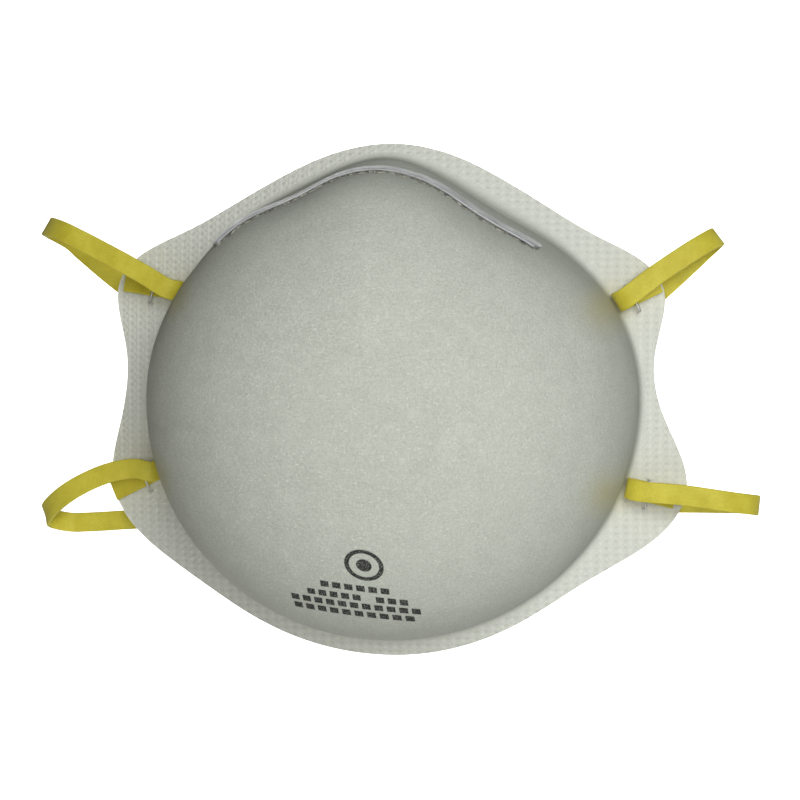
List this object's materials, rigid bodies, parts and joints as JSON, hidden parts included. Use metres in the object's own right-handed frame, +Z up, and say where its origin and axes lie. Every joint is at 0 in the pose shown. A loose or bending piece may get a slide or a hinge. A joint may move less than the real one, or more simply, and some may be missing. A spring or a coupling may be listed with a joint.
{
  "type": "disposable dust mask",
  "caption": "Moulded cup dust mask with a pressed flange, metal nose clip, foam nose pad and two flat elastic head straps stapled to the flange.",
  "frame": {"origin": "centre of the face opening, in the plane where the cup wall meets the flange", "axes": "+Z up toward the nose clip, +Y toward the wearer's face, +X toward the right of the picture; the cup bulges toward -Y"},
  "size_m": [0.185, 0.0694, 0.1282],
  "materials": {
    "outer_fleece": "thermoformed nonwoven, fine matted fibres",
    "filter": "white meltblown web",
    "shell_felt": "stiff needled felt",
    "inner_fleece": "soft smooth nonwoven",
    "glue": "hot-melt glue line",
    "clip_aluminium": "soft rolled strip with dulled edges",
    "tape": "thin double-sided tape",
    "foam": "open-cell soft foam",
    "staple_steel": "drawn wire",
    "strap_elastic": "flat yellow elastic band"
  },
  "bodies": {
    "mask": {"outer_cover": "outer_fleece", "filter_media": "filter", "support_shell": "shell_felt", "face_liner": "inner_fleece", "nose_clip_adhesive": "glue", "nose_clip": "clip_aluminium", "nose_foam_tape": "tape", "nose_foam": "foam", "staple_upper_left": "staple_steel", "staple_upper_right": "staple_steel", "staple_lower_left": "staple_steel", "staple_lower_right": "staple_steel", "upper_strap_left_end": "strap_elastic", "upper_strap_right_end": "strap_elastic", "lower_strap_left_end": "strap_elastic", "lower_strap_right_end": "strap_elastic"},
    "upper_strap_legs": {"upper_strap_left_leg": "strap_elastic", "upper_strap_right_leg": "strap_elastic"},
    "upper_strap_rear": {"upper_strap_span": "strap_elastic"},
    "lower_strap_legs": {"lower_strap_left_leg": "strap_elastic", "lower_strap_right_leg": "strap_elastic"},
    "lower_strap_rear": {"lower_strap_span": "strap_elastic"}
  },
  "joints": [
    {"name": "upper_strap_swing", "type": "hinge", "parent": "mask", "child": "upper_strap_legs", "pos_m": [0, 0.0155, 0.037], "axis": [1, 0, 0], "range_deg": [0, 100], "stiffness_Nm_per_rad": 0.003},
    {"name": "upper_strap_stretch", "type": "slide", "parent": "upper_strap_legs", "child": "upper_strap_rear", "axis": [0, 1, 0], "range_m": [0, 0.11], "stiffness_N_per_m": 15},
    {"name": "lower_strap_swing", "type": "hinge", "parent": "mask", "child": "lower_strap_legs", "pos_m": [0, 0.0155, -0.0297], "axis": [1, 0, 0], "range_deg": [-35, 40], "stiffness_Nm_per_rad": 0.003},
    {"name": "lower_strap_stretch", "type": "slide", "parent": "lower_strap_legs", "child": "lower_strap_rear", "axis": [0, 1, 0], "range_m": [0, 0.11], "stiffness_N_per_m": 15}
  ]
}
